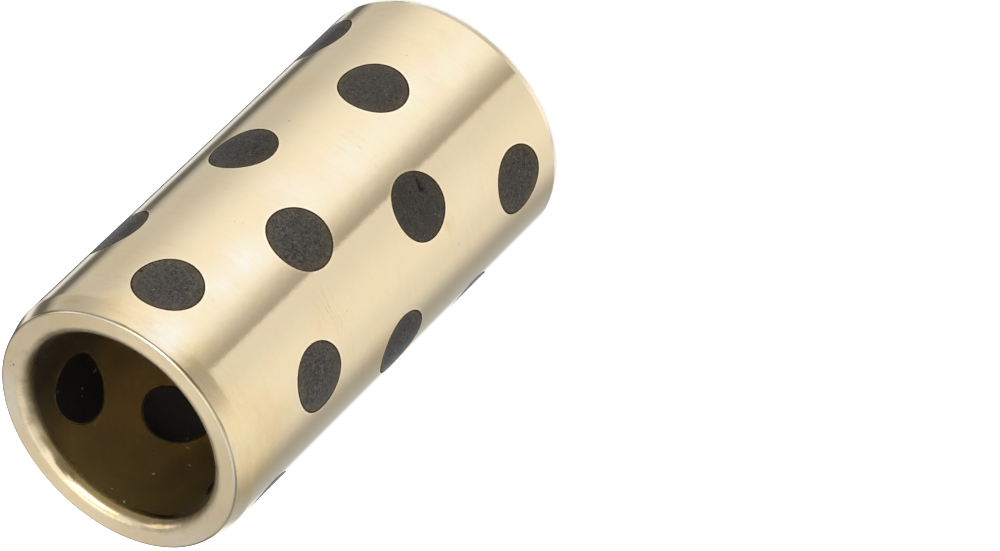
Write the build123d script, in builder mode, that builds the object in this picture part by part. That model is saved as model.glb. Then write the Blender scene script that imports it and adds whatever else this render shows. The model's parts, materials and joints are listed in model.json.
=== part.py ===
from build123d import *

import os
from math import tan, radians

# A plain cylindrical bearing bushing: a bronze sleeve with solid graphite plugs set in radial holes.
# Millimetres. The sleeve stands on its plain end, its axis is Z, and the lead-in end is at the top.

# Sleeve
bore_diameter = 30.0
outside_diameter = 40.0
length = 80.0
lead_in_length = 3.0          # the taper that starts the sleeve into its housing
lead_in_angle = 15.0          # degrees from the axis
lead_in_edge_break = 0.25     # broken edge between the taper and the top face
lead_in_mouth_radius = 2.0    # rounding that guides the shaft into the bore
plain_end_chamfer = 0.8       # plain end, outside edge, measured across the wall
plain_end_angle = 30.0        # degrees from the axis
plain_mouth_chamfer = 1.0     # plain end, bore edge, 45 degrees

# Plugs: rings of equally spaced plugs, each ring turned on from the one below it
plug_diameter = 10.0
plugs_per_ring = 3
ring_count = 7
ring_pitch = 10.0
ring_turn = 72.0              # degrees from one ring to the next one up

bore_radius = bore_diameter / 2
outside_radius = outside_diameter / 2
plug_radius = plug_diameter / 2
top_face_radius = outside_radius - lead_in_length * tan(radians(lead_in_angle))
base_face_radius = outside_radius - plain_end_chamfer
plain_end_chamfer_height = plain_end_chamfer / tan(radians(plain_end_angle))
first_ring_height = (length - (ring_count - 1) * ring_pitch) / 2
beyond_wall = outside_radius + 1.0


def plug_plane(ring, place):
    """The plane on the sleeve's axis that faces out along one plug, counting rings from the base."""
    turn = ring * ring_turn + place * 360 / plugs_per_ring
    outward = Vector(1, 0, 0).rotate(Axis.Z, turn)
    return Plane(origin=(0, 0, first_ring_height + ring * ring_pitch), x_dir=(0, 0, 1), z_dir=outward)


plug_planes = {
    f"graphite_plug_ring{ring + 1}_{'abc'[place]}": plug_plane(ring, place)
    for ring in range(ring_count)
    for place in range(plugs_per_ring)
}


# Sleeve: the wall's section turned about the axis, then drilled through for every plug.
with BuildPart() as bushing_body:
    with BuildSketch(Plane.XZ) as wall_section:
        with BuildLine():
            Polyline(
                (bore_radius, 0),
                (base_face_radius, 0),
                (outside_radius, plain_end_chamfer_height),
                (outside_radius, length - lead_in_length),
                (top_face_radius, length),
                (bore_radius, length),
                close=True,
            )
        make_face()
        plain_mouth_corner = wall_section.vertices().group_by(Axis.X)[0].sort_by(Axis.Y)[0]
        chamfer(plain_mouth_corner, length=plain_mouth_chamfer)
        lead_in_mouth_corner = wall_section.vertices().group_by(Axis.X)[0].sort_by(Axis.Y)[-1]
        fillet(lead_in_mouth_corner, radius=lead_in_mouth_radius)
        lead_in_corner = wall_section.vertices().group_by(Axis.Y)[-1].sort_by(Axis.X)[-1]
        chamfer(lead_in_corner, length=lead_in_edge_break)
    revolve(axis=Axis.Z)
    with BuildSketch(*plug_planes.values()):
        Circle(plug_radius)
    extrude(amount=beyond_wall, mode=Mode.SUBTRACT)

os.makedirs("parts", exist_ok=True)
bushing_body.part.label = "bushing_body"
export_step(bushing_body.part, "parts/bushing_body.step")

# Plugs: each one a rod along its hole, cut to the wall's own thickness, so that one end follows the
# outside of the sleeve and the other end follows the bore.
for plug_name, plane in plug_planes.items():
    with BuildPart() as plug:
        with BuildSketch(plane):
            Circle(plug_radius)
        extrude(amount=beyond_wall)
        with BuildSketch(Plane.XY):
            Circle(outside_radius)
            Circle(bore_radius, mode=Mode.SUBTRACT)
        extrude(amount=length, mode=Mode.INTERSECT)
    plug.part.label = plug_name
    export_step(plug.part, f"parts/{plug_name}.step")
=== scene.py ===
"""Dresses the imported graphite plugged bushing: bronze and graphite meshes, materials, studio and camera."""

import json
from collections import namedtuple
from functools import reduce
from itertools import pairwise
from math import asin, atan2, cos, hypot, pi, radians, sin, sqrt, tan

import bpy
from mathutils import Matrix, Vector


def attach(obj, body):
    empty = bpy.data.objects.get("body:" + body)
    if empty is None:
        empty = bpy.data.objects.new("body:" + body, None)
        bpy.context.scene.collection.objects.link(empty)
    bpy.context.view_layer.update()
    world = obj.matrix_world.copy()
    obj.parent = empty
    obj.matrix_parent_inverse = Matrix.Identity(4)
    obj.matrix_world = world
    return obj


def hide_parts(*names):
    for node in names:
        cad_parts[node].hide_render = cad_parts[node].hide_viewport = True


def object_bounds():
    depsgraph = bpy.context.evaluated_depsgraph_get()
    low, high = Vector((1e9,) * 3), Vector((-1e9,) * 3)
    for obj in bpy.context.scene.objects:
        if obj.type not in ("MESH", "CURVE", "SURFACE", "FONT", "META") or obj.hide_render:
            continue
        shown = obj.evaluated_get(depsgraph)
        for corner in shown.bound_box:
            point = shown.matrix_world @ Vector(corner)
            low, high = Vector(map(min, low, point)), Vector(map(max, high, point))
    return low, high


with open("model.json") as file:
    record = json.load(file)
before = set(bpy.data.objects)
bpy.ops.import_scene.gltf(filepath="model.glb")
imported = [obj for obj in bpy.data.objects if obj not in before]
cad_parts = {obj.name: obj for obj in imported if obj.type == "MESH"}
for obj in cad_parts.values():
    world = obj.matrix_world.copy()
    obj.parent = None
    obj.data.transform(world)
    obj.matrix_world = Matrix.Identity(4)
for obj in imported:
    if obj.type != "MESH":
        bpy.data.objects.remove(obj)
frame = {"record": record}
cad_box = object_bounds()

MM = 0.001

# The bushing, in millimetres, as the CAD has it: axis on Z, standing on its plain end
mount_sizes = {mount["name"]: mount["dims"] for mount in frame["record"]["mounts"]}
BORE_RADIUS = mount_sizes["bore"]["r_mm"]
OUTSIDE_RADIUS = mount_sizes["outside_diameter"]["r_mm"]
LENGTH = round(cad_box[1][2] / MM, 3)
LEAD_IN_LENGTH = 3.0
LEAD_IN_DEGREES = 15
MOUTH_RADIUS = 2.0
PLAIN_CHAMFER = 0.8
PLAIN_CHAMFER_DEGREES = 30
PLAIN_CHAMFER_HEIGHT = PLAIN_CHAMFER / tan(radians(PLAIN_CHAMFER_DEGREES))
PLAIN_MOUTH_CHAMFER = 1.0
PLUG_RADIUS = 5.0
PLUGS_PER_RING = 3
RING_COUNT = 7
RING_PITCH = 10.0
RING_TURN = 72.0
FIRST_RING_HEIGHT = 10.0

# Small edges that the solids leave sharp
EDGE_BREAK = 0.38            # rounded edge between the lead-in and the top face
LEAD_IN_BLEND = 0.5          # how far on each side the lead-in and the wall blend into each other
HOLE_EDGE = 0.04             # bevel round each hole in the bronze
RIM_WIDTH = 0.42             # pale rim round each hole, burnish with a painted highlight, fading out over this width
SEAM_WIDTH = 0.24            # bevel round each plug, which makes the dark seam with the hole's edge
SEAM_DEPTH = 0.16
PLUG_CLEARANCE = 0.005       # the plug's side stays this far inside its hole

# Mesh density
STEPS_AROUND = 240
OUTSIDE_STEP = RING_PITCH / 15   # rows on the outside wall; a ring's pitch is a whole number of steps
BORE_STEP = 1.0
END_MARGIN = 4.0             # the outside wall's even rows stop this far from each end
LAST_ROW = 2.7               # one more row between them and the chamfer
MOUTH_STEPS = 20
FACE_STEPS = 6
EDGE_STEPS = 8
LEAD_IN_STEPS = 8
BLEND_STEPS = 5
PATCH_HALF_HEIGHT = 6.0      # the square patch of mesh that holds one hole
PATCH_HALF_COLUMNS = {"outside": 12, "bore": 16}
PATCH_RINGS = 7
RING_GROWTH = 1.4            # above 1, a patch's rings get wider towards its border
SHARP_FROM = radians(25)     # edges of a plug that are shaded sharp

# The photograph's view
VIEW_AZIMUTH = -74.65
VIEW_ELEVATION = 40.11
VIEW_ROLL = 135.16
VIEW_DISTANCE = 1.050
VIEW_AIM = Vector((-17.5, -18.6, 24.2)) * MM
VIEW_LENS = 273.5


# ---------------------------------------------------------------- mesh helpers

BODY_ZONES = ["outside", "lead_in", "bore", "mouth", "face", "edge", "seam"]


def add_object(name, data):
    added = bpy.data.objects.new(name, data)
    bpy.context.collection.objects.link(added)
    return added


def add_piece(name, points, faces, materials):
    """A new object with a mesh of these points (metres) and faces."""
    mesh = bpy.data.meshes.new(name)
    mesh.from_pydata(points, [], faces)
    for material in materials:
        mesh.materials.append(material)
    return add_object(name, mesh)


class Skin:
    """Collects a mesh: vertices with one value each, and faces with a material and perhaps corner normals."""

    def __init__(self, value_name):
        self.value_name = value_name
        self.points = []
        self.values = []
        self.faces = []
        self.normals = []
        self.materials = []

    def point(self, x, y, z, value=0.0):
        self.points.append((x * MM, y * MM, z * MM))
        self.values.append(value)
        return len(self.points) - 1

    def face(self, vertices, material=0, flipped=False):
        self.faces.append(vertices[::-1] if flipped else vertices)
        self.materials.append(material)

    def shaped_face(self, corners, zone, flipped=False):
        """A face from its corners, each a vertex and the normal there."""
        self.face([vertex for vertex, _ in corners], BODY_ZONES.index(zone), flipped)
        normals = [normal for _, normal in corners]
        self.normals.extend(normals[::-1] if flipped else normals)

    def make(self, name, materials):
        piece = add_piece(name, self.points, self.faces, materials)
        mesh = piece.data
        mesh.attributes.new(self.value_name, "FLOAT", "POINT").data.foreach_set("value", self.values)
        mesh.polygons.foreach_set("material_index", self.materials)
        mesh.polygons.foreach_set("use_smooth", [True] * len(self.faces))
        if self.normals:
            mesh.normals_split_custom_set(self.normals)
        else:
            mesh.set_sharp_from_angle(angle=SHARP_FROM)
        mesh.update()
        return piece


def on_wall(azimuth, wall_radius, across, height, depth=0.0):
    """A place in mm, this far across from a plug's axis and this deep below the wall's surface."""
    turn = radians(azimuth)
    reach = sqrt(wall_radius ** 2 - across ** 2) - depth
    return reach * cos(turn) - across * sin(turn), reach * sin(turn) + across * cos(turn), height


def round_steps(count):
    """Each step round a closed ring, with the step that follows it."""
    return [(step, (step + 1) % count) for step in range(count)]


def hole_places():
    """Every plug's ring and letter, its azimuth in degrees and its height."""
    for ring in range(RING_COUNT):
        height = FIRST_RING_HEIGHT + ring * RING_PITCH
        for place in range(PLUGS_PER_RING):
            azimuth = (ring * RING_TURN + place * 360 / PLUGS_PER_RING) % 360
            yield f"ring{ring + 1}_{'abc'[place]}", azimuth, height


def column_of(azimuth):
    return round(azimuth * STEPS_AROUND / 360)


# ---------------------------------------------------------------- bronze body

def slanting(degrees):
    """A normal in the section: its radial and axial parts, from its angle to the radial direction."""
    return cos(radians(degrees)), sin(radians(degrees))


def arc(centre, radius, start, end, steps):
    """Profile points with their normals along a round edge; angles from the radial direction, degrees."""
    for step in range(steps + 1):
        normal = slanting(start + (end - start) * step / steps)
        yield centre[0] + radius * normal[0], centre[1] + radius * normal[1], normal


def line(start, end, steps, facing):
    """Profile points at even distances on a straight line. facing is their normal's angle, like an arc's."""
    normal = slanting(facing)
    for step in range(steps + 1):
        share = step / steps
        yield start[0] + (end[0] - start[0]) * share, start[1] + (end[1] - start[1]) * share, normal


def lead_in_profile():
    """The top face, the broken edge, the lead-in and its blend into the wall, as bands of the profile."""
    # The broken edge is an arc that touches the top face and the lead-in.
    corner_radius = OUTSIDE_RADIUS - LEAD_IN_LENGTH * tan(radians(LEAD_IN_DEGREES))
    round_radius = EDGE_BREAK / tan(radians(90 - LEAD_IN_DEGREES) / 2)
    break_centre = (corner_radius - EDGE_BREAK, LENGTH - round_radius)
    face_end = (break_centre[0], LENGTH)
    edge = list(arc(break_centre, round_radius, 90, LEAD_IN_DEGREES, EDGE_STEPS))
    # The blend is an arc that touches the lead-in and the wall.
    blend_radius = LEAD_IN_BLEND / tan(radians(LEAD_IN_DEGREES) / 2)
    blend_centre = (OUTSIDE_RADIUS - blend_radius, LENGTH - LEAD_IN_LENGTH - LEAD_IN_BLEND)
    blend = list(arc(blend_centre, blend_radius, LEAD_IN_DEGREES, 0, BLEND_STEPS))
    return [
        ("face", line((BORE_RADIUS + MOUTH_RADIUS, LENGTH), face_end, FACE_STEPS, 90)),
        ("edge", edge),
        ("lead_in", line(edge[-1], blend[0], LEAD_IN_STEPS, LEAD_IN_DEGREES)),
        ("lead_in", blend),
    ]


def wall_profile():
    """The wall's closed section, up the bore and down outside: bands of (radius, height, normal) points."""
    bore_top = LENGTH - MOUTH_RADIUS
    bore_rows = round((bore_top - PLAIN_MOUTH_CHAMFER) / BORE_STEP)
    even_rows = round((LENGTH - 2 * END_MARGIN) / OUTSIDE_STEP)
    wall_heights = [LENGTH - LEAD_IN_LENGTH - LEAD_IN_BLEND]
    wall_heights += [LENGTH - END_MARGIN - OUTSIDE_STEP * row for row in range(even_rows + 1)]
    wall_heights += [LAST_ROW, PLAIN_CHAMFER_HEIGHT]
    chamfer_top = (OUTSIDE_RADIUS, PLAIN_CHAMFER_HEIGHT)
    bore_bottom = (BORE_RADIUS, PLAIN_MOUTH_CHAMFER)
    base_outer = (OUTSIDE_RADIUS - PLAIN_CHAMFER, 0.0)
    base_inner = (BORE_RADIUS + PLAIN_MOUTH_CHAMFER, 0.0)
    return [
        ("bore", line(bore_bottom, (BORE_RADIUS, bore_top), bore_rows, 180)),
        ("mouth", arc((BORE_RADIUS + MOUTH_RADIUS, bore_top), MOUTH_RADIUS, 180, 90, MOUTH_STEPS)),
        *lead_in_profile(),
        ("outside", [(OUTSIDE_RADIUS, height, (1, 0)) for height in wall_heights]),
        ("edge", line(chamfer_top, base_outer, 1, -PLAIN_CHAMFER_DEGREES)),
        ("face", line(base_outer, base_inner, 2, -90)),
        ("edge", line(base_inner, bore_bottom, 1, -135)),
    ]


def patch_columns(zone, height):
    """The columns, at this height, that hole patches cover."""
    half = PATCH_HALF_COLUMNS.get(zone, 0)
    covered = set()
    for _, azimuth, hole_height in hole_places():
        if abs(height - hole_height) < PATCH_HALF_HEIGHT:
            centre = column_of(azimuth)
            covered.update((centre + step) % STEPS_AROUND for step in range(-half, half))
    return covered


class Lathe:
    """Turns the wall's section into rows of vertices, leaving out the cells that the hole patches fill."""

    def __init__(self, skin):
        self.skin = skin
        self.rows = {}
        self.angles = [2 * pi * step / STEPS_AROUND for step in range(STEPS_AROUND)]

    def row(self, radius, height):
        key = (round(radius, 4), round(height, 4))
        if key not in self.rows:
            self.rows[key] = [self.skin.point(radius * cos(a), radius * sin(a), height) for a in self.angles]
        return self.rows[key]

    def corner(self, point, column):
        radius, height, (radial, axial) = point
        angle = self.angles[column]
        return self.row(radius, height)[column], (radial * cos(angle), radial * sin(angle), axial)

    def band(self, zone, start, end):
        covered = patch_columns(zone, (start[1] + end[1]) / 2)
        for column, following in round_steps(STEPS_AROUND):
            if column not in covered:
                places = ((end, column), (end, following), (start, following), (start, column))
                self.skin.shaped_face([self.corner(*place) for place in places], zone)


class HoleEnd:
    """One end of a plug's hole: in the outside wall, or in the bore's."""

    def __init__(self, zone, azimuth, height):
        outside = zone == "outside"
        self.zone = zone
        self.side = 1 if outside else -1
        self.wall_radius = OUTSIDE_RADIUS if outside else BORE_RADIUS
        self.row_step = OUTSIDE_STEP if outside else BORE_STEP
        self.column = column_of(azimuth)
        self.azimuth = azimuth
        self.turn = radians(azimuth)
        self.height = height
        self.directions = []     # from the hole's axis to each point of the patch's border, across and up
        self.edge = []           # the patch's vertices at the hole, one for each direction
        self.inside = []         # the corners where the bevel meets the hole's own wall

    def add_point(self, skin, across, up, depth=0.0, burnish=0.0):
        place = on_wall(self.azimuth, self.wall_radius, across, self.height + up, self.side * depth)
        return skin.point(*place, burnish)

    def wall_normal(self, across):
        angle = self.turn + asin(across / self.wall_radius)
        return self.side * cos(angle), self.side * sin(angle), 0.0

    def hole_normal(self, direction):
        """The hole's own wall faces its axis."""
        return sin(self.turn) * direction[0], -cos(self.turn) * direction[0], -direction[1]

    def bevel_normal(self, direction):
        outward = Vector((cos(self.turn), sin(self.turn), 0.0))
        return (outward * self.side + Vector(self.hole_normal(direction))).normalized()

    def border(self):
        """The patch's border as columns and rows from its centre, all round from its lower left corner."""
        half = PATCH_HALF_COLUMNS[self.zone]
        rows = round(PATCH_HALF_HEIGHT / self.row_step)
        yield from ((column, -rows) for column in range(-half, half))
        yield from ((half, row) for row in range(-rows, rows))
        yield from ((column, rows) for column in range(half, -half, -1))
        yield from ((-half, row) for row in range(rows, -rows, -1))

    def ring_distance(self, ring, border_distance):
        """How far a ring of the patch is from the hole's axis."""
        edge = PLUG_RADIUS + HOLE_EDGE
        if ring == 0:
            return edge
        rim = edge + RIM_WIDTH
        return rim + (border_distance - rim) * ((ring - 1) / (PATCH_RINGS - 1)) ** RING_GROWTH

    def add_patch(self, skin, lathe):
        """Fills the square patch of wall round the hole with rings of quads."""
        rings = [[] for _ in range(PATCH_RINGS + 1)]
        for column, row in self.border():
            across = self.wall_radius * sin(2 * pi * column / STEPS_AROUND)
            up = row * self.row_step
            distance = hypot(across, up)
            direction = (across / distance, up / distance)
            self.directions.append(direction)
            for ring in range(PATCH_RINGS):
                out = self.ring_distance(ring, distance)
                # the innermost ring on the outside wall gets the pale rim: burnish with a painted highlight
                burnish = 1.0 if ring == 0 and self.zone == "outside" else 0.0
                vertex = self.add_point(skin, direction[0] * out, direction[1] * out, burnish=burnish)
                rings[ring].append((vertex, self.wall_normal(direction[0] * out)))
            wall_row = lathe.row(self.wall_radius, self.height + up)
            rings[-1].append((wall_row[(self.column + column) % STEPS_AROUND], self.wall_normal(across)))
        self.edge = [vertex for vertex, _ in rings[0]]
        for inner, outer in pairwise(rings):
            for here, following in round_steps(len(inner)):
                corners = [inner[here], outer[here], outer[following], inner[following]]
                skin.shaped_face(corners, self.zone, flipped=self.side < 0)

    def add_bevel(self, skin):
        """The small bevel between the patch and the hole's own wall."""
        outer, inner = [], []
        for vertex, direction in zip(self.edge, self.directions):
            across, up = direction[0] * PLUG_RADIUS, direction[1] * PLUG_RADIUS
            inner_vertex = self.add_point(skin, across, up, HOLE_EDGE)
            normal = self.bevel_normal(direction)
            outer.append((vertex, normal))
            inner.append((inner_vertex, normal))
            self.inside.append((inner_vertex, self.hole_normal(direction)))
        for here, following in round_steps(len(outer)):
            corners = [outer[here], outer[following], inner[following], inner[here]]
            skin.shaped_face(corners, "seam", flipped=self.side < 0)

    def angles(self):
        """The directions' angles, always rising, and the first one again a turn later."""
        found = [atan2(up, across) for across, up in self.directions]
        for index in range(1, len(found)):
            while found[index] < found[index - 1]:
                found[index] += 2 * pi
        return found + [found[0] + 2 * pi]


def join_hole_ends(skin, outer_end, inner_end):
    """The hole's own wall: triangles, because its two ends have different numbers of corners."""
    outer, outer_angles = outer_end.inside, outer_end.angles()
    inner, inner_angles = inner_end.inside, inner_end.angles()
    a, b = 0, 0
    while a < len(outer) or b < len(inner):
        outer_here, inner_here = outer[a % len(outer)], inner[b % len(inner)]
        if b == len(inner) or (a < len(outer) and outer_angles[a + 1] <= inner_angles[b + 1]):
            a += 1
            skin.shaped_face([outer_here, outer[a % len(outer)], inner_here], "seam")
        else:
            b += 1
            skin.shaped_face([outer_here, inner[b % len(inner)], inner_here], "seam")


def bushing_body(materials):
    """The sleeve: the turned section with its 21 holes, closed all round."""
    skin = Skin("burnish")
    lathe = Lathe(skin)
    for zone, points in wall_profile():
        for start, end in pairwise(points):
            lathe.band(zone, start, end)
    for _, azimuth, height in hole_places():
        ends = [HoleEnd(zone, azimuth, height) for zone in ("outside", "bore")]
        for end in ends:
            end.add_patch(skin, lathe)
            end.add_bevel(skin)
        join_hole_ends(skin, *ends)
    return skin.make("bronze_sleeve", materials)


# ---------------------------------------------------------------- graphite plugs

PLUG_STEPS_AROUND = 96
PLUG_RINGS = 22
DENTED_PLUG_RINGS = 48       # finer, where a plug has dents to show
DENT_ROUNDNESS = 1.5         # power by which a dent gets deeper from its edge to its middle
SMEAR_POWER = 5              # how closely the bronze smeared over a plug keeps to the plug's edge
GRAPHITE, SEAM_FILM = 0, 1   # a plug's material numbers

# Dents in the outer end of a plug, from its centre in millimetres: across, up, width, depth
PLUG_DENTS = {
    "ring3_b": [
        (1.50, -1.90, 0.75, 0.40),
        (2.00, -1.98, 0.50, 0.30),
        (2.50, -2.08, 0.46, 0.28),
        (2.95, -2.22, 0.42, 0.26),
        (3.42, -2.40, 0.44, 0.24),
        (0.80, -2.30, 0.40, 0.20),
        (4.35, -0.50, 0.42, 0.22),
        (-1.2, 2.6, 0.34, 0.10),
    ],
    "ring7_c": [(4.55, -0.20, 0.50, 0.30), (-0.6, -1.3, 0.30, 0.10), (2.2, 1.4, 0.28, 0.08)],
    "ring5_a": [(-2.4, 0.8, 0.38, 0.12), (-1.0, 2.2, 0.30, 0.10), (1.8, -1.6, 0.28, 0.08)],
    "ring6_c": [(1.2, 2.4, 0.34, 0.12), (-2.0, -0.6, 0.28, 0.08)],
    "ring2_c": [(2.2, 1.8, 0.30, 0.08)],
    "ring1_c": [(-1.5, -2.2, 0.30, 0.08)],
}


class Plug:
    """One plug's mesh: curved ends that follow the sleeve, a bevel in the seam at each end, and its side."""

    def __init__(self, azimuth, height, dents):
        self.azimuth = azimuth
        self.height = height
        self.dents = dents
        self.skin = Skin("smear")    # how much bronze is smeared over the graphite

    def add_point(self, across, up, wall_radius, depth):
        smear = (hypot(across, up) / PLUG_RADIUS) ** SMEAR_POWER
        return self.skin.point(*on_wall(self.azimuth, wall_radius, across, self.height + up, depth), smear)

    def dent_depth(self, across, up):
        return sum(
            depth * max(0.0, 1 - hypot(across - dent_across, up - dent_up) / width) ** DENT_ROUNDNESS
            for dent_across, dent_up, width, depth in self.dents
        )

    def add_ring(self, radius, wall_radius, depth_at):
        ring = []
        for step in range(PLUG_STEPS_AROUND):
            angle = 2 * pi * step / PLUG_STEPS_AROUND
            across, up = radius * cos(angle), radius * sin(angle)
            ring.append(self.add_point(across, up, wall_radius, depth_at(across, up)))
        return ring

    def add_end(self, wall_radius, surface_depth, seam_depth, flipped):
        """Adds one end and returns its outermost ring, at the bottom of the seam."""
        side_radius = PLUG_RADIUS - PLUG_CLEARANCE
        ring_count = DENTED_PLUG_RINGS if self.dents else PLUG_RINGS
        radii = [(side_radius - SEAM_WIDTH) * ring / ring_count for ring in range(1, ring_count + 1)]
        rings = [self.add_ring(radius, wall_radius, surface_depth) for radius in radii]
        rings.append(self.add_ring(side_radius, wall_radius, lambda across, up: seam_depth))
        centre = self.add_point(0.0, 0.0, wall_radius, surface_depth(0.0, 0.0))
        for step, following in round_steps(PLUG_STEPS_AROUND):
            self.skin.face([centre, rings[0][step], rings[0][following]], flipped=flipped)
            for inner, outer in pairwise(rings):
                quad = [inner[step], outer[step], outer[following], inner[following]]
                self.skin.face(quad, SEAM_FILM if outer is rings[-1] else GRAPHITE, flipped)
        return rings[-1]

    def make(self, name, materials):
        outer = self.add_end(OUTSIDE_RADIUS, self.dent_depth, SEAM_DEPTH, flipped=False)
        inner = self.add_end(BORE_RADIUS, lambda across, up: 0.0, -SEAM_DEPTH, flipped=True)
        for step, following in round_steps(PLUG_STEPS_AROUND):
            self.skin.face([outer[step], inner[step], inner[following], outer[following]], SEAM_FILM)
        return self.skin.make(name, materials)


# ---------------------------------------------------------------- material helpers

# A round place on the part: azimuth in degrees, height, reach and distance from the axis in mm
Spot = namedtuple("Spot", "azimuth height reach strength from_axis", defaults=(1.0, OUTSIDE_RADIUS))


class Nodes:
    """A short way to write a node tree."""

    def __init__(self, owner):
        owner.use_nodes = True
        self.tree = owner.node_tree
        self.tree.nodes.clear()

    def add(self, kind, inputs=None, **settings):
        node = self.tree.nodes.new(kind)
        for key, value in settings.items():
            setattr(node, key, value)
        for key, value in (inputs or {}).items():
            self.put(value, node.inputs[key])
        return node

    def put(self, value, socket):
        if isinstance(value, bpy.types.NodeSocket):
            self.tree.links.new(value, socket)
        else:
            socket.default_value = value

    def math(self, operation, *values):
        return self.add("ShaderNodeMath", dict(enumerate(values)), operation=operation).outputs[0]

    def times(self, *values):
        return reduce(lambda first, second: self.math("MULTIPLY", first, second), values)

    def plus(self, first, second):
        return self.math("ADD", first, second)

    def minus(self, first, second):
        return self.math("SUBTRACT", first, second)

    def larger(self, first, second):
        return self.math("MAXIMUM", first, second)

    def remap(self, value, low, high, to_low=0.0, to_high=1.0, smooth=False):
        """to_low where the value is low, to_high where it's high, and no farther on either side."""
        kind = "SMOOTHSTEP" if smooth else "LINEAR"
        inputs = dict(enumerate((value, low, high, to_low, to_high)))
        return self.add("ShaderNodeMapRange", inputs, interpolation_type=kind).outputs[0]

    def mix(self, share, first, second):
        return self.add("ShaderNodeMix", {0: share, 6: first, 7: second}, data_type="RGBA").outputs[2]

    def noise(self, place, scale, detail=2.0, roughness=0.5):
        inputs = {"Vector": place, "Scale": scale, "Detail": detail, "Roughness": roughness}
        return self.add("ShaderNodeTexNoise", inputs).outputs["Fac"]

    def bump(self, height, distance, **over):
        inputs = {"Strength": 1.0, "Distance": distance, "Height": height, **over}
        return self.add("ShaderNodeBump", inputs).outputs[0]

    def near(self, place, spot):
        """The spot's strength in its middle, falling smoothly to 0 at its reach."""
        turn = radians(spot.azimuth)
        middle = (spot.from_axis * cos(turn) * MM, spot.from_axis * sin(turn) * MM, spot.height * MM)
        distance = self.add("ShaderNodeVectorMath", {0: place, 1: middle}, operation="DISTANCE")
        return self.remap(distance.outputs["Value"], 0.0, spot.reach * MM, spot.strength, 0.0, smooth=True)

    def surface(self, shader_inputs):
        shader = self.add("ShaderNodeBsdfPrincipled", shader_inputs)
        self.add("ShaderNodeOutputMaterial", {0: shader.outputs[0]})


class Look:
    """A new material, its nodes, its colour so far, and the place on the part that its textures read."""

    def __init__(self, name):
        self.material = bpy.data.materials.new(name)
        self.n = Nodes(self.material)
        self.colour = None
        self.place = self.n.add("ShaderNodeTexCoord").outputs["Object"]
        self.x, self.y, self.z = self.n.add("ShaderNodeSeparateXYZ", {0: self.place}).outputs

    def from_axis(self):
        n = self.n
        return n.math("SQRT", n.plus(n.times(self.x, self.x), n.times(self.y, self.y)))

    def noise(self, scale, detail=2.0, roughness=0.5):
        return self.n.noise(self.place, scale, detail, roughness)

    def near(self, spot):
        return self.n.near(self.place, spot)

    def paint(self, share, tint):
        """Lays a tint over the colour so far."""
        self.colour = self.n.mix(share, self.colour, tint)

    def streaked(self, squeeze, third):
        """Coordinates squeezed across the axis, where a noise runs round the sleeve in streaks."""
        n = self.n
        squeezed = {0: n.times(self.x, squeeze), 1: n.times(self.y, squeeze), 2: third}
        return n.add("ShaderNodeCombineXYZ", squeezed).outputs[0]


# ---------------------------------------------------------------- bronze

PALE_GOLD = (0.95, 0.80, 0.545, 1)
GREEN_GOLD = (0.935, 0.815, 0.54, 1)
ROSE_GOLD = (0.955, 0.79, 0.545, 1)
WARM_GOLD = (0.89, 0.70, 0.43, 1)
# Painted highlight on the top face
HIGHLIGHT_GOLD = (1.0, 0.88, 0.60, 1)
# Pale rims round the holes (burnish with a painted highlight), and the painted highlight on the lead-in's
# edge
BURNISH_AND_HIGHLIGHT = (1.0, 0.94, 0.80, 1)
# Painted highlights on the outside wall and the top face
HIGHLIGHT_MILKY = (0.97, 0.92, 0.82, 1)
HONEY = (0.945, 0.735, 0.375, 1)
# Painted light (yellow) and painted shade (olive, and the bore's shaded colour) in the mouth and the bore
LIT_YELLOW = (0.84, 0.63, 0.22, 1)
SHADE_OLIVE = (0.31, 0.24, 0.12, 1)
SHADED = (0.22, 0.19, 0.155, 1)
BROWN_STAIN = (0.62, 0.45, 0.24, 1)
SCRATCH = (0.74, 0.54, 0.30, 1)
TARNISH = (0.17, 0.105, 0.055, 1)
# Painted shade for the line under the lead-in's upper edge
EDGE_SHADE = (0.20, 0.145, 0.075, 1)
RUST = (0.30, 0.13, 0.09, 1)
DUST = (0.12, 0.11, 0.085, 1)

# Warmer, browner places on the outside wall and the lead-in
STAINS = [
    Spot(248.5, 26.5, 2.2, 0.9),
    Spot(277.0, 44.0, 1.6, 0.6),
    Spot(259.0, 55.0, 5.0, 0.45),
    Spot(247.0, 73.0, 5.0, 0.75),
    Spot(236.0, 72.0, 6.0, 0.95),
    Spot(328.0, 63.0, 3.0, 0.4),
    Spot(331.5, 73.5, 4.0, 0.6),
    Spot(343.0, 77.0, 3.5, 0.9),
    Spot(321.0, 78.0, 4.5, 0.7),
    Spot(306.0, 78.5, 2.5, 0.6),
    Spot(285.0, 78.5, 3.5, 0.8),
    Spot(267.5, 78.5, 3.5, 0.9),
    Spot(228.0, 76.5, 6.0, 1.0),
]

# Places there that are yellow like honey
HONEY_PLACES = [
    Spot(227.0, 76.0, 8.0, 0.95),
    Spot(241.0, 71.0, 6.0, 0.5),
    Spot(256.0, 76.5, 7.0, 0.6),
    Spot(284.0, 77.0, 4.5, 0.6),
    Spot(224.0, 46.0, 7.0, 0.7),
    Spot(322.0, 77.5, 5.0, 0.5),
    Spot(345.0, 67.0, 8.0, 0.6),
    Spot(346.0, 25.0, 7.0, 0.6),
]

# Painted highlights there, milky white
PAINTED_HIGHLIGHTS = [
    Spot(297.5, 77.5, 4.5, 0.7),
    Spot(298.0, 65.5, 4.0, 0.45),
    Spot(298.0, 59.0, 5.0, 0.6),
    Spot(307.0, 44.5, 6.0, 0.35),
    Spot(298.0, 34.0, 6.0, 0.25),
    Spot(306.5, 16.5, 6.0, 0.35),
    Spot(255.5, 20.5, 7.0, 0.2),
]

SCRATCHED_PLACES = [Spot(259, 54, 4.5), Spot(301, 31, 3.0)]

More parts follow.
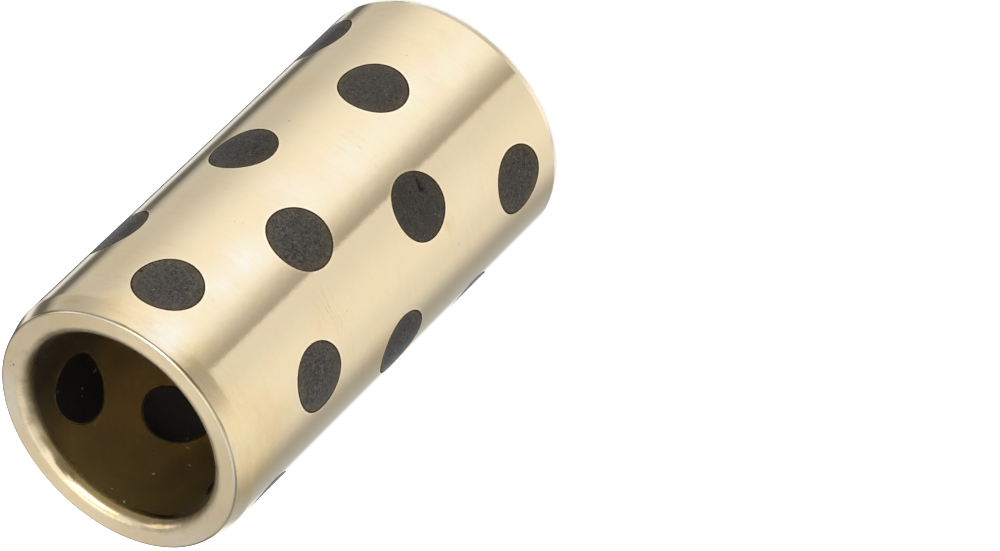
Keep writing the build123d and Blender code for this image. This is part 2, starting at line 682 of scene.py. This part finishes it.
# Painted highlights (the lighter places) and painted shade (the warm, darker place) on the lead-in end's face
FACE_MIDDLE = 18.1           # distance from the axis
FACE_PAINTED_LIGHT = [   # azimuth, reach, strength, colour
    (264.5, 8.0, 0.75, HIGHLIGHT_GOLD),
    (174.5, 8.0, 0.45, HIGHLIGHT_MILKY),
    (54.5, 8.0, 0.60, HIGHLIGHT_MILKY),
    (340.0, 9.0, 0.60, WARM_GOLD),
]

# The thin line of painted shade under the lead-in's upper edge, between these distances below the top face,
# and the lit sides, where it's left out and the edge gets a painted highlight
SHADE_LINE_LOW = 0.46 * MM
SHADE_LINE_HIGH = 0.33 * MM
LIT_EDGE_SIDES = [
    Spot(234.0, 79.6, 9.0, from_axis=19.3),
    Spot(297.0, 79.6, 4.0, from_axis=19.3),
    Spot(331.0, 79.6, 7.5, from_axis=19.3),
]

# Single dark spots
DARK_SPOTS = [Spot(247.9, 77.6, 0.45, from_axis=19.4), Spot(78.7, 80.0, 0.35, from_axis=19.0)]
RUST_SPOTS = [
    Spot(34.9, 80.0, 0.30, from_axis=17.4),
    Spot(34.0, 80.0, 0.16, from_axis=17.9),
    Spot(36.6, 80.0, 0.14, from_axis=17.8),
]

# Sides of the mouth (its best polish; its worn side, also painted as lit) and, below it, the side of the bore
# that the light reaches, painted lit where the rest is painted shade
POLISHED_SIDE = Spot(125.0, 79.4, 18.0, from_axis=16.0)
WORN_AND_LIT_SIDE = Spot(110.0, 78.8, 21.0, from_axis=15.6)
LIT_SIDE = Spot(118.0, 68.0, 24.0, from_axis=15.0)

TOP = LENGTH * MM

# The mouth and the bore. The heights where their looks change are counted down from the top face.
POLISHED_BELOW = 0.07 * MM   # the mouth's polish reaches full strength
DULL_FROM = 0.7 * MM         # on the worn side it starts to fade again
DULL_BELOW = 1.3 * MM
SATIN = 0.5                  # how polished the mouth is away from its best polished side
MOUTH_SHADE_FROM = 0.3 * MM      # painted shade low in the mouth starts, is strongest and has faded out
MOUTH_SHADE_MOST = 1.5 * MM
MOUTH_SHADE_TO = 12.0 * MM
BORE_LIGHT_AND_SHADE_FROM = 4.0 * MM    # the bore's painted light (yellow, lit side) and painted shade (dark, elsewhere) start to fade out
BORE_LIGHT_AND_SHADE_TO = 50.0 * MM     # and have faded out
UNEVEN = 0.5 * MM            # how far the painted shade's edges wander up and down on the worn side
RAISED = 0.38 * MM           # how much higher the mouth's painted shade reaches off the worn side

# How each turned surface is finished. The depths of grooves, waves and ripple are in metres.
Finish = namedtuple(
    "Finish",
    "zone roughness anisotropy groove_depth wave_scale wave_depth ripple stain streak mottle dust polished",
    defaults=(0.0, None),
)
FINISHES = [   # in the order of BODY_ZONES, whose last, the seam, has its own material
    Finish("outside", 0.12, 0.55, 4e-7, 90.0, 1.0e-5, 0.9e-5, 0.38, 0.07, 0.24),
    Finish("lead_in", 0.14, 0.50, 8e-7, 160.0, 1.2e-5, 1.0e-5, 0.75, 0.22, 0.55),
    Finish("bore", 0.29, 0.25, 1e-7, 90.0, 0.4e-5, 0.1e-5, 0.30, 0.03, 0.10, dust=0.6),
    Finish("mouth", 0.42, 0.62, 6e-7, 190.0, 6.0e-5, 2.0e-5, 0.40, 0.10, 0.30, polished=0.12),
    Finish("face", 0.42, 0.62, 4.4e-6, 90.0, 0.4e-5, 4.0e-5, 0.65, 0.22, 0.45),
    Finish("edge", 0.16, 0.30, 6e-7, 170.0, 0.6e-5, 0.6e-5, 0.40, 0.10, 0.20),
]


class Bronze(Look):
    """A turned bronze surface, put together a layer at a time."""

    def __init__(self, finish):
        super().__init__("bronze_" + finish.zone)
        self.finish = finish
        n = self.n
        # Tool marks follow each other outwards on a faced surface, and along the axis on the others.
        faced = finish.zone in ("mouth", "face")
        marks_at = self.streaked(0.04, self.from_axis() if faced else self.z)
        fine, coarse = n.noise(marks_at, 9000.0, 3.0, 0.65), n.noise(marks_at, 1800.0, 2.0, 0.5)
        self.marks = n.plus(n.times(fine, 0.6), n.times(coarse, 0.4))
        self.relief = self.marks
        self.blotch = self.noise(130.0, 4.0, 0.6)
        self.cloudy = n.noise(self.streaked(0.45, self.z), 620.0, 5.0, 0.72)

    def drifting_hue(self):
        n = self.n
        hue = n.remap(self.noise(240.0, 4.0, 0.8), 0.36, 0.64)
        self.colour = n.mix(n.remap(hue, 0.0, 0.5), GREEN_GOLD, PALE_GOLD)
        self.paint(n.remap(hue, 0.5, 1.0), ROSE_GOLD)

    def stains(self, spots):
        n = self.n
        drift = n.remap(self.noise(45.0, 2.0, 0.5), 0.42, 0.66, 0.0, self.finish.stain, smooth=True)
        self.stain = n.times(n.remap(self.blotch, 0.46, 0.70, smooth=True), drift)
        for spot in spots:
            local = n.times(self.near(spot), n.remap(self.cloudy, 0.36, 0.62, 0.1, 1.2))
            self.stain = n.larger(self.stain, local)
        self.paint(self.stain, WARM_GOLD)

    def tints_and_painted_highlights(self):
        n = self.n
        grainy = self.noise(1500.0, 3.0, 0.75)
        for spot in HONEY_PLACES:
            self.paint(n.times(self.near(spot), n.remap(grainy, 0.38, 0.62, 0.2, 1.25)), HONEY)
        # Painted highlights: milky white patches
        for spot in PAINTED_HIGHLIGHTS:
            self.paint(n.times(self.near(spot), n.remap(self.cloudy, 0.36, 0.62, 1.0, 0.6)), HIGHLIGHT_MILKY)

    def painted_face_light(self):
        # Painted highlights and painted shade on the top face
        for azimuth, reach, strength, tint in FACE_PAINTED_LIGHT:
            self.paint(self.near(Spot(azimuth, LENGTH, reach, strength, FACE_MIDDLE)), tint)

    def streaks_and_mottle(self):
        n = self.n
        streak = n.noise(self.streaked(0.10, self.z), 1500.0, 3.0, 0.6)
        streak = n.remap(streak, 0.50, 0.72, 0.0, self.finish.streak)
        self.paint(n.times(streak, n.remap(self.blotch, 0.40, 0.60, 0.35, 1.0)), BROWN_STAIN)
        self.paint(n.remap(self.cloudy, 0.50, 0.75, 0.0, self.finish.mottle), WARM_GOLD)

    def specks_and_spots(self):
        n = self.n
        speck = n.remap(self.noise(1500.0, 1.0, 0.3), 0.835, 0.86, 0.0, 0.75)
        for spot in DARK_SPOTS:
            speck = n.larger(speck, self.near(spot))
        self.paint(speck, TARNISH)
        for spot in RUST_SPOTS:
            self.paint(self.near(spot), RUST)

    def painted_edge_shade(self):
        """A painted shade line under the lead-in's upper edge, broken up, and left out at the lit sides,
        where the edge gets a painted highlight.
        """
        n = self.n
        line_strength = n.remap(self.noise(260.0, 2.0), 0.36, 0.52, 0.35, 1.0)
        low, high = TOP - SHADE_LINE_LOW, TOP - SHADE_LINE_HIGH
        below_edge = n.remap(self.z, high, high + 0.03 * MM, 1.0, 0.0)
        shade_line = n.times(n.remap(self.z, low, low + 0.10 * MM), below_edge)
        for spot in LIT_EDGE_SIDES:
            lit_edge = self.near(spot)
            line_strength = n.times(line_strength, n.remap(lit_edge, 0.1, 0.5, 1.0, 0.1))
            if self.finish.zone == "edge":
                # Painted highlight on the edge at the lit sides
                self.paint(n.remap(lit_edge, 0.1, 0.5, 0.0, 0.45), BURNISH_AND_HIGHLIGHT)
        self.paint(n.times(shade_line, line_strength), EDGE_SHADE)

    def scratches(self):
        """Hairlines round the sleeve, in a few patches."""
        n = self.n
        lines = []
        for slant, scale in ((0.10, 520.0), (-0.06, 700.0)):
            slanted = n.plus(self.z, n.times(self.x, slant))
            wander = n.noise(self.streaked(0.05, slanted), scale, 1.0, 0.4)
            off_line = n.math("ABSOLUTE", n.minus(wander, 0.5))
            lines.append(n.remap(off_line, 0.004, 0.016, 1.0, 0.0))
        patch = n.remap(self.noise(110.0, 2.0), 0.62, 0.72, 0.0, 0.4, smooth=True)
        for spot in SCRATCHED_PLACES:
            patch = n.larger(patch, self.near(spot))
        broken = n.remap(self.noise(900.0, 1.0), 0.42, 0.55)
        scratch = n.times(n.larger(*lines), patch, broken)
        self.paint(n.times(scratch, 0.5), SCRATCH)
        self.relief = n.minus(self.marks, n.times(scratch, 1.5))

    def mouth_and_bore_light_and_shade(self):
        """Painted shade low in the mouth, yellower where the worn side is lit; in the bore, painted light on
        its lit side and painted shade elsewhere.
        """
        n = self.n
        self.worn_and_lit = self.near(WORN_AND_LIT_SIDE)
        uneven = n.remap(self.noise(420.0, 3.0, 0.6), 0.3, 0.7, -UNEVEN, UNEVEN)
        self.ragged = n.plus(self.z, n.times(uneven, n.remap(self.worn_and_lit, 0.0, 0.3, 0.30, 1.0)))
        below_mouth = n.remap(self.z, TOP - MOUTH_SHADE_TO, TOP - MOUTH_SHADE_MOST, 0.0, 0.65, smooth=True)
        shifted = n.minus(self.ragged, n.remap(self.worn_and_lit, 0.0, 0.3, RAISED, 0.0))
        in_mouth = n.remap(shifted, TOP - MOUTH_SHADE_MOST, TOP - MOUTH_SHADE_FROM, 0.65, 0.0, smooth=True)
        mouth_shade = n.math("MINIMUM", below_mouth, in_mouth)
        mouth_shade = n.times(mouth_shade, n.remap(self.worn_and_lit, 0.0, 0.3, 1.50, 1.0))
        # Painted shade low in the mouth: olive, and yellow as painted light on the worn side
        self.paint(mouth_shade, n.mix(n.remap(self.worn_and_lit, 0.0, 0.4), SHADE_OLIVE, LIT_YELLOW))
        # Painted light on the bore's lit side, painted shade elsewhere
        bore_light_and_shade = n.remap(self.z, TOP - BORE_LIGHT_AND_SHADE_TO, TOP - BORE_LIGHT_AND_SHADE_FROM, 0.0, 0.80, smooth=True)
        bore_light_and_shade = n.times(bore_light_and_shade, n.remap(self.ragged, TOP - MOUTH_SHADE_MOST, TOP, 1.0, 0.0))
        self.paint(bore_light_and_shade, n.mix(n.remap(self.near(LIT_SIDE), 0.15, 0.60), SHADED, LIT_YELLOW))

    def even_gloss(self):
        spread = 0.02 if self.finish.zone == "bore" else 0.18
        low, high = self.finish.roughness * (1 - spread), self.finish.roughness * (1 + spread)
        self.gloss = self.n.remap(self.marks, 0.3, 0.7, low, high)

    def mouth_polish(self):
        n = self.n
        best = n.remap(self.near(POLISHED_SIDE), 0.05, 0.40, SATIN, 1.0, smooth=True)
        polish = n.times(n.remap(self.z, TOP - POLISHED_BELOW, TOP, 1.0, 0.0, smooth=True), best)
        dull = n.remap(self.ragged, TOP - DULL_BELOW, TOP - DULL_FROM, 1.0, 0.0, smooth=True)
        polish = n.minus(polish, n.times(dull, n.remap(self.worn_and_lit, 0.0, 1.0, 0.0, 0.5)))
        full = self.finish.polished / self.finish.roughness
        self.gloss = n.times(self.gloss, n.remap(polish, 0.0, 1.0, 1.0, full))

    def finished(self):
        """The pale rims round the holes (burnish and painted highlight), dust, waves and grooves, and the
        shader. Returns the material.
        """
        n, finish = self.n, self.finish
        waves = n.bump(self.noise(finish.wave_scale, 1.0, 0.4), finish.wave_depth)
        waves = n.bump(self.noise(900.0, 2.0, 0.5), finish.ripple, Normal=waves)
        burnish = n.add("ShaderNodeAttribute", attribute_name="burnish").outputs["Fac"]
        burnish = n.times(burnish, n.remap(self.cloudy, 0.35, 0.65, 0.55, 0.15))
        # Pale rim round each hole: burnish with a painted highlight
        self.paint(burnish, BURNISH_AND_HIGHLIGHT)
        pale = n.times(burnish, 0.17)
        if finish.dust:
            dust = n.remap(self.noise(1150.0, 1.0, 0.3), 0.755, 0.785, 0.0, finish.dust)
            self.paint(dust, DUST)
            pale = n.larger(pale, dust)
        n.surface({
            "Base Color": self.colour,
            "Metallic": n.minus(1.0, pale),
            "Roughness": n.plus(self.gloss, n.times(self.stain, 0.06)),
            "Normal": n.bump(self.relief, finish.groove_depth, Normal=waves),
            "Anisotropic": finish.anisotropy,
            "Anisotropic Rotation": 0.25,
            "Tangent": n.add("ShaderNodeTangent", direction_type="RADIAL", axis="Z").outputs[0],
        })
        return self.material


def bronze(finish):
    """Turned bronze: tool marks round the axis, a drifting hue, stains, streaks, a few dark specks, and
    painted light and shade.
    """
    look = Bronze(finish)
    outer = finish.zone in ("outside", "lead_in")
    look.drifting_hue()
    look.stains(STAINS if outer else [])
    if outer:
        look.tints_and_painted_highlights()
    if finish.zone == "face":
        look.painted_face_light()
    look.streaks_and_mottle()
    look.specks_and_spots()
    if finish.zone in ("edge", "lead_in"):
        look.painted_edge_shade()
    if finish.zone == "outside":
        look.scratches()
    if finish.zone in ("mouth", "bore"):
        look.mouth_and_bore_light_and_shade()
    look.even_gloss()
    if finish.polished:
        look.mouth_polish()
    return look.finished()


def patchy(name, scale, colours, roughness, relief, settings):
    """A dull look that wanders between two colours and, with them, between two roughnesses."""
    look = Look(name)
    n = look.n
    share = n.remap(look.noise(scale), 0.35, 0.65)
    n.surface({
        "Base Color": n.mix(share, *colours),
        "Roughness": n.remap(share, 0.0, 1.0, *roughness),
        "Normal": n.bump(look.noise(4000.0), relief),
        **settings,
    })
    return look.material


def seam_bronze():
    """The hole's edge and wall: bronze gone dull and brown against the graphite."""
    browns = (0.060, 0.034, 0.014, 1), (0.16, 0.10, 0.045, 1)
    return patchy("bronze_seam", 1200.0, browns, (0.45, 0.65), 1.2e-5, {"Metallic": 0.6})


def seam_film():
    """The film that fills the seam round a plug: nearly black, browned by the bronze."""
    blacks = (0.022, 0.0130, 0.0030, 1), (0.052, 0.0320, 0.0090, 1)
    return patchy("seam_film", 1500.0, blacks, (0.6, 0.8), 2e-5, {"Specular IOR Level": 0.15})


# ---------------------------------------------------------------- graphite

BORE_END_FROM = 17.5 * MM        # nearer the sleeve's axis than this, a plug's end is painted dark as shade in the bore
BORE_END_TO = 16.5 * MM
PALE_SHADE_BELOW = 55.0 * MM  # heights between which the painted shade turns from pale to dark, near the mouth
DARK_SHADE_ABOVE = 65.0 * MM
DENT_FROM = (OUTSIDE_RADIUS - 0.03) * MM   # where the outer end lies deeper than this, it's a dent, painted dark as shade
DENT_TO = (OUTSIDE_RADIUS - 0.18) * MM
# Painted shade in the dents
DENT_SHADE = (0.0050, 0.0045, 0.0036, 1)
SMEARED_BRONZE = (0.085, 0.056, 0.022, 1)
# Painted shade on the plug ends in the bore
PALE_BORE_SHADE = (0.0330, 0.0312, 0.0275, 1)
DARK_BORE_SHADE = (0.0044, 0.0041, 0.0035, 1)


class Graphite(Look):
    """Pressed graphite, cut flush. Its grade's contrast is the difference in lightness between its grains."""

    def __init__(self, grade):
        super().__init__("graphite_" + grade.name)
        self.grade = grade
        self.radius = self.from_axis()
        n = self.n
        self.grain = self.noise(3800.0, 2.5, 0.6)
        self.hue = n.remap(self.noise(650.0), 0.40, 0.60)
        calm = n.remap(self.noise(170.0, 1.0), 0.40, 0.60, 1.0, 0.55, smooth=True)
        grains = n.plus(n.times(self.grain, 0.65), n.times(self.noise(1700.0), 0.35))
        self.grains = n.plus(0.5, n.times(n.minus(grains, 0.5), calm))
        reach = 0.12 / grade.contrast
        light = n.mix(self.hue, self.black(0.0370, 1.12, 0.92), self.black(0.0355, 1.06, 0.78))
        share = n.remap(self.grains, 0.5 - reach, 0.5 + reach)
        self.colour = n.mix(share, self.black(0.0042, 1.15, 0.80), light)
        cloud = n.remap(self.noise(420.0, 3.0, 0.6), 0.42, 0.68, 0.0, 0.5)
        self.paint(cloud, self.black(0.0125, 1.10, 0.84))

    def black(self, level, red=1.0, blue=1.0):
        level *= self.grade.tone
        return level * red, level, level * blue, 1

    def pores_and_flake_glints(self):
        n = self.n
        self.pore = n.remap(self.noise(2900.0, 2.0, 0.6), 0.30, 0.36, 1.0, 0.0)
        self.paint(n.times(self.pore, 0.85), self.black(0.002))
        # Light flecks: the graphite's flakes, painted lighter as glints
        self.flake = n.remap(self.noise(3600.0, 1.0, 0.4), 0.72, 0.78)
        self.paint(n.times(self.flake, self.grade.flakes), self.black(0.18, 1.0, 0.94))

    def smear_and_dent_shade(self):
        n = self.n
        smear = n.add("ShaderNodeAttribute", attribute_name="smear").outputs["Fac"]
        smear = n.times(smear, n.remap(self.hue, 0.0, 1.0, 0.20, 0.50), min(self.grade.tone, 1.0) ** 3)
        self.paint(smear, SMEARED_BRONZE)
        # Dents painted dark as shade
        dent_shade = n.remap(self.radius, DENT_TO, DENT_FROM, 1.0, 0.0)
        self.paint(n.times(dent_shade, 0.80), DENT_SHADE)

    def shade_and_dust_in_bore(self):
        n = self.n
        # The plug's end in the bore painted dark as shade; dust over it
        self.bore_end = n.remap(self.radius, BORE_END_TO, BORE_END_FROM, 1.0, 0.0)
        pale = n.remap(self.z, PALE_SHADE_BELOW, DARK_SHADE_ABOVE, 1.0, 0.0)
        self.paint(self.bore_end, n.mix(pale, DARK_BORE_SHADE, PALE_BORE_SHADE))
        dust = n.remap(self.noise(1150.0, 1.0, 0.3), 0.74, 0.77, 0.0, 0.6)
        self.paint(n.times(self.bore_end, dust), DUST)

    def finished(self):
        n = self.n
        gloss = n.minus(n.remap(self.grain, 0.3, 0.7, 0.38, 0.24), n.times(self.flake, 0.10))
        relief = n.minus(n.plus(self.grains, n.times(self.flake, 0.3)), self.pore)
        n.surface({
            "Base Color": self.colour,
            "Roughness": n.plus(gloss, n.times(n.larger(self.pore, self.bore_end), 0.25)),
            "IOR": 1.34,
            "Specular IOR Level": self.grade.shine,
            "Specular Tint": (1.0, 0.94, 0.85, 1),
            "Normal": n.bump(relief, 0.00005),
        })
        return self.material


def graphite(grade):
    look = Graphite(grade)
    look.pores_and_flake_glints()
    look.smear_and_dent_shade()
    look.shade_and_dust_in_bore()
    return look.finished()


# ---------------------------------------------------------------- dressing the frame

sleeve = bushing_body([bronze(finish) for finish in FINISHES] + [seam_bronze()])
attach(sleeve, "root")
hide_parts("bushing_body")

# The plugs differ from piece to piece; each grade's tone also paints light or shade for how lit its plugs
# are. Those that no grade names are of the first.
Grade = namedtuple("Grade", "name tone contrast flakes shine plugs")
GRADES = [
    Grade("fine", 1.20, 0.8, 0.4, 0.3, ()),
    Grade("coarse", 1.18, 1.3, 0.4, 0.5, ("ring2_b", "ring4_c", "ring5_a", "ring7_c")),
    Grade("dim", 0.97, 1.3, 0.4, 0.5, ("ring6_c",)),
    Grade("middling", 1.02, 0.9, 0.4, 0.25, ("ring1_c",)),
    Grade("dull", 0.88, 0.9, 0.4, 0.25, ("ring1_a", "ring4_a", "ring4_b", "ring6_a")),
    Grade("dark", 0.74, 0.9, 0.8, 0.5, ("ring2_a", "ring3_b", "ring5_c")),
]
graphites = [graphite(grade) for grade in GRADES]
graphite_of = {name: graphites[k] for k, grade in enumerate(GRADES) for name in grade.plugs}
film = seam_film()
for name, azimuth, height in hole_places():
    shape = Plug(azimuth, height, PLUG_DENTS.get(name, []))
    plug = shape.make("plug_" + name, [graphite_of.get(name, graphites[0]), film])
    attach(plug, "root")
    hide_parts("graphite_plug_" + name)


# ---------------------------------------------------------------- studio

FLOOR_STEPS = 96
FLOOR_RADIUS = 6.0
UNDER_BUSHING = 17.5 * MM    # the floor has two parts, which meet out of sight below the sleeve's wall


def floor_part(name, inner, outer, material):
    """A flat ring of floor at height 0, or a disc where inner is 0."""
    angles = [2 * pi * step / FLOOR_STEPS for step in range(FLOOR_STEPS)]
    points = [(outer * cos(angle), outer * sin(angle), 0) for angle in angles]
    faces = [tuple(range(FLOOR_STEPS))]
    if inner > 0:
        points += [(inner * cos(angle), inner * sin(angle), 0) for angle in angles]
        faces = [(a, b, FLOOR_STEPS + b, FLOOR_STEPS + a) for a, b in round_steps(FLOOR_STEPS)]
    piece = add_piece(name, points, faces, [material])
    return piece


def pale_floor():
    look = Look("pale_floor")
    n = look.n
    shade = n.remap(look.noise(6.0, 3.0), 0.3, 0.7)
    n.surface({
        "Base Color": n.mix(shade, (0.90, 0.90, 0.90, 1), (0.93, 0.93, 0.93, 1)),
        "Roughness": 0.8,
        "Specular IOR Level": 0.1,
    })
    return look.material


# What the polished bronze mirrors. A card's left and right edges are in degrees clockwise from the camera's
# azimuth, low and high in degrees above the horizon, and soft_* is how gradual each edge is. A later card
# stands in front.
Card = namedtuple(
    "Card",
    "what colour left right soft_left soft_right low high soft_low soft_high",
    defaults=(-90, 90, 1, 1),
)


def grey(level, warmth=0.0):
    """A card's colour: warmth above 0 is yellower, below 0 bluer."""
    return level * (1 + warmth), level, level * (1 - warmth)


LOW_CARDS = [
    Card("pale wall on the right", grey(0.54, -0.10), 146, 165, 18, 5),
    Card("grey panel on the left", grey(0.60), -128, -60, 4, 10),
    Card("the panel's dimmer top", grey(0.47), -125, -72, 5, 14, -27, 10, 8, 4),
    Card("warm wall between the two lights", grey(0.405, 0.045), -4, 26, 5, 4),
    Card("key softbox beside the camera", grey(1.0), -80, 2.5, 30, 15.5),
    Card("its bright, cooler core", (1.02, 1.08, 1.19), -38, -10, 18, 12),
    Card("fill card on the other side", grey(0.81, 0.01), 18.4, 113.5, 1.5, 16),
    Card("the fill card's middle", grey(0.90, 0.02), 44, 84, 16, 14),
    Card("the fill card's dim top corner", grey(0.45, 0.03), 4, 44, 8, 24, -17, 10, 5, 4),
    Card("white backdrop behind the bushing", grey(1.02), 161, 181, 6, 1, -90, -26, 1, 6),
    Card("narrow strip of light", grey(0.89, -0.03), -161, -151, 3, 3),
    Card("dark gap behind the strip", grey(0.10, -0.03), -181, -163.4, 1, 3),
    Card("black flag", grey(0.14), -148, -134, 4, 3.5),
    Card("white floor", grey(1.02), -181, 181, 1, 1, -90, -56, 1, 5),
    Card("the bushing's own shade on it", grey(0.68), -181, 181, 1, 1, -90, -75, 1, 5),
    Card("the shade's far side", grey(0.62), -181, -128, 1, 8, -84, -56, 5, 5),
]
HIGH_CARDS = [
    Card("dark room behind the camera", grey(0.28, 0.06), -150, 133, 14, 16, -1, 40, 4, 7),
    Card("paler wall on its right", grey(0.44, 0.04), 45, 92, 14, 14, 8, 40, 8, 8),
    Card("the photographer", grey(0.15, 0.04), -6, 22, 8, 8, -1, 50, 4, 8),
    Card("dark corner on the left", grey(0.06), -165, -108, 8, 12, -2, 14, 4, 14),
    Card("dark corner on the right", grey(0.06), 88, 140, 12, 8, -2, 12, 4, 14),
    Card("dark doorway opposite the camera", grey(0.16), 146, 181, 8, 1, -22, 22, 6, 6),
    Card("the doorway's other half", grey(0.16), -181, -158, 1, 6, -22, 22, 6, 6),
    Card("dimmer ceiling on the left", grey(0.44), -179, -115, 8, 14, 40, 56, 6, 8),
    Card("side light, seen only in the mouth", grey(1.0, 0.10), -128, -103, 3, 6, 29, 50, 5, 4),
    Card("dimmer ceiling on the right", grey(0.68), 70, 140, 16, 10, 46, 72, 8, 8),
    Card("far end of the light overhead", grey(1.4), -181, -146, 1, 10, 60, 90, 6, 1),
    Card("key softbox overhead", grey(2.5, -0.02), -74, -15, 12, 7, 53, 90, 6, 1),
    Card("gap between the overhead lights", grey(0.22, 0.03), 8, 31, 5, 6, 42, 73, 5, 6),
]
STUDIO_WALL = (*grey(0.41), 1)
UPPER_WALL = (*grey(0.50), 1)
OVERHEAD_LIGHT = (*grey(1.0), 1)
UPPER_WALL_RISE = (0.0, 0.30)    # sines of the elevations between which each takes over from the one below
OVERHEAD_RISE = (0.68, 0.94)
CARD_LEAN = 0.32             # how much the low cards close in round the camera towards their tops
WALL_MIRRORS_AT = -0.643     # sine of the elevation that the outside wall mirrors, where they don't lean
SOFT_LIGHT = 2.3             # strength of the plain white light that everything but reflections gets


def draw_card(n, seen, card, clockwise, elevation):
    def inside(value, low, high, soft_low, soft_high):
        above = n.remap(value, low - soft_low, low + soft_low, smooth=True)
        below = n.remap(value, high - soft_high, high + soft_high, 1.0, 0.0, smooth=True)
        return n.times(above, below)

    across = inside(clockwise, card.left, card.right, card.soft_left, card.soft_right)
    upward = inside(elevation, card.low, card.high, card.soft_low, card.soft_high)
    return n.mix(n.times(across, upward), seen, (*card.colour, 1))


def mirrored_studio(n):
    """The colour that a reflection sees in each direction."""
    direction = n.add("ShaderNodeTexCoord").outputs["Generated"]
    turn = {"Vector": direction, "Angle": radians(-VIEW_AZIMUTH)}
    turned = n.add("ShaderNodeVectorRotate", turn, rotation_type="Z_AXIS").outputs[0]
    x, y, z = n.add("ShaderNodeSeparateXYZ", {0: turned}).outputs
    clockwise = n.math("DEGREES", n.math("ARCTAN2", n.times(y, -1.0), x))
    elevation = n.math("DEGREES", n.math("ARCSINE", z))
    above = n.minus(n.math("MINIMUM", z, 0.0), WALL_MIRRORS_AT)
    leaning = n.math("DIVIDE", clockwise, n.minus(1.0, n.times(above, CARD_LEAN)))
    seen = STUDIO_WALL
    for card in LOW_CARDS:
        seen = draw_card(n, seen, card, leaning, elevation)
    seen = n.mix(n.remap(z, *UPPER_WALL_RISE, smooth=True), seen, UPPER_WALL)
    seen = n.mix(n.remap(z, *OVERHEAD_RISE, smooth=True), seen, OVERHEAD_LIGHT)
    for card in HIGH_CARDS:
        seen = draw_card(n, seen, card, clockwise, elevation)
    return seen


def studio_world():
    """White for the camera and for soft light. Reflections see grey walls, cards and a big light overhead."""
    world = bpy.data.worlds.new("studio")
    bpy.context.scene.world = world
    n = Nodes(world)
    mirrored = n.add("ShaderNodeBackground", {0: mirrored_studio(n), 1: 1.0}).outputs[0]
    plain = n.add("ShaderNodeBackground", {0: (1, 1, 1, 1), 1: SOFT_LIGHT}).outputs[0]
    glossy = n.add("ShaderNodeLightPath").outputs["Is Glossy Ray"]
    chosen = n.add("ShaderNodeMixShader", {0: glossy, 1: plain, 2: mirrored}).outputs[0]
    n.add("ShaderNodeOutputWorld", {0: chosen})


KEY_SIZE = 1.6               # metres
KEY_POWER = 2.0
KEY_AZIMUTH = VIEW_AZIMUTH + 120
KEY_DISTANCE = 1.0
KEY_HEIGHT = 1.7


def key_light():
    """One big soft light from above, for the floor and the graphite."""
    light = bpy.data.lights.new("key", "AREA")
    light.shape = "DISK"
    light.size = KEY_SIZE
    light.energy = KEY_POWER
    lamp = add_object("key", light)
    azimuth = radians(KEY_AZIMUTH)
    lamp.location = (KEY_DISTANCE * cos(azimuth), KEY_DISTANCE * sin(azimuth), KEY_HEIGHT)
    lamp.rotation_euler = (-Vector(lamp.location)).to_track_quat("-Z", "Y").to_euler()
    lamp.visible_glossy = False


def photo_camera():
    azimuth, elevation, roll = radians(VIEW_AZIMUTH), radians(VIEW_ELEVATION), radians(VIEW_ROLL)
    back = Vector((cos(elevation) * cos(azimuth), cos(elevation) * sin(azimuth), sin(elevation)))
    level_right = Vector((-sin(azimuth), cos(azimuth), 0))
    level_up = back.cross(level_right)
    up = level_up * cos(roll) + level_right * sin(roll)
    right = level_right * cos(roll) - level_up * sin(roll)
    camera = bpy.data.cameras.new("camera")
    camera.lens = VIEW_LENS
    camera.sensor_width = 36.0
    camera.clip_end = 50.0
    view = add_object("camera", camera)
    turned = Matrix((right, up, back)).transposed().to_4x4()
    view.matrix_world = Matrix.Translation(VIEW_AIM + back * VIEW_DISTANCE) @ turned
    bpy.context.scene.camera = view


floor_look = pale_floor()
floor = floor_part("floor", UNDER_BUSHING, FLOOR_RADIUS, floor_look)
floor.visible_glossy = False
floor_part("floor_in_bore", 0.0, UNDER_BUSHING, floor_look)
studio_world()
key_light()
photo_camera()
bpy.context.scene.view_settings.view_transform = "Standard"
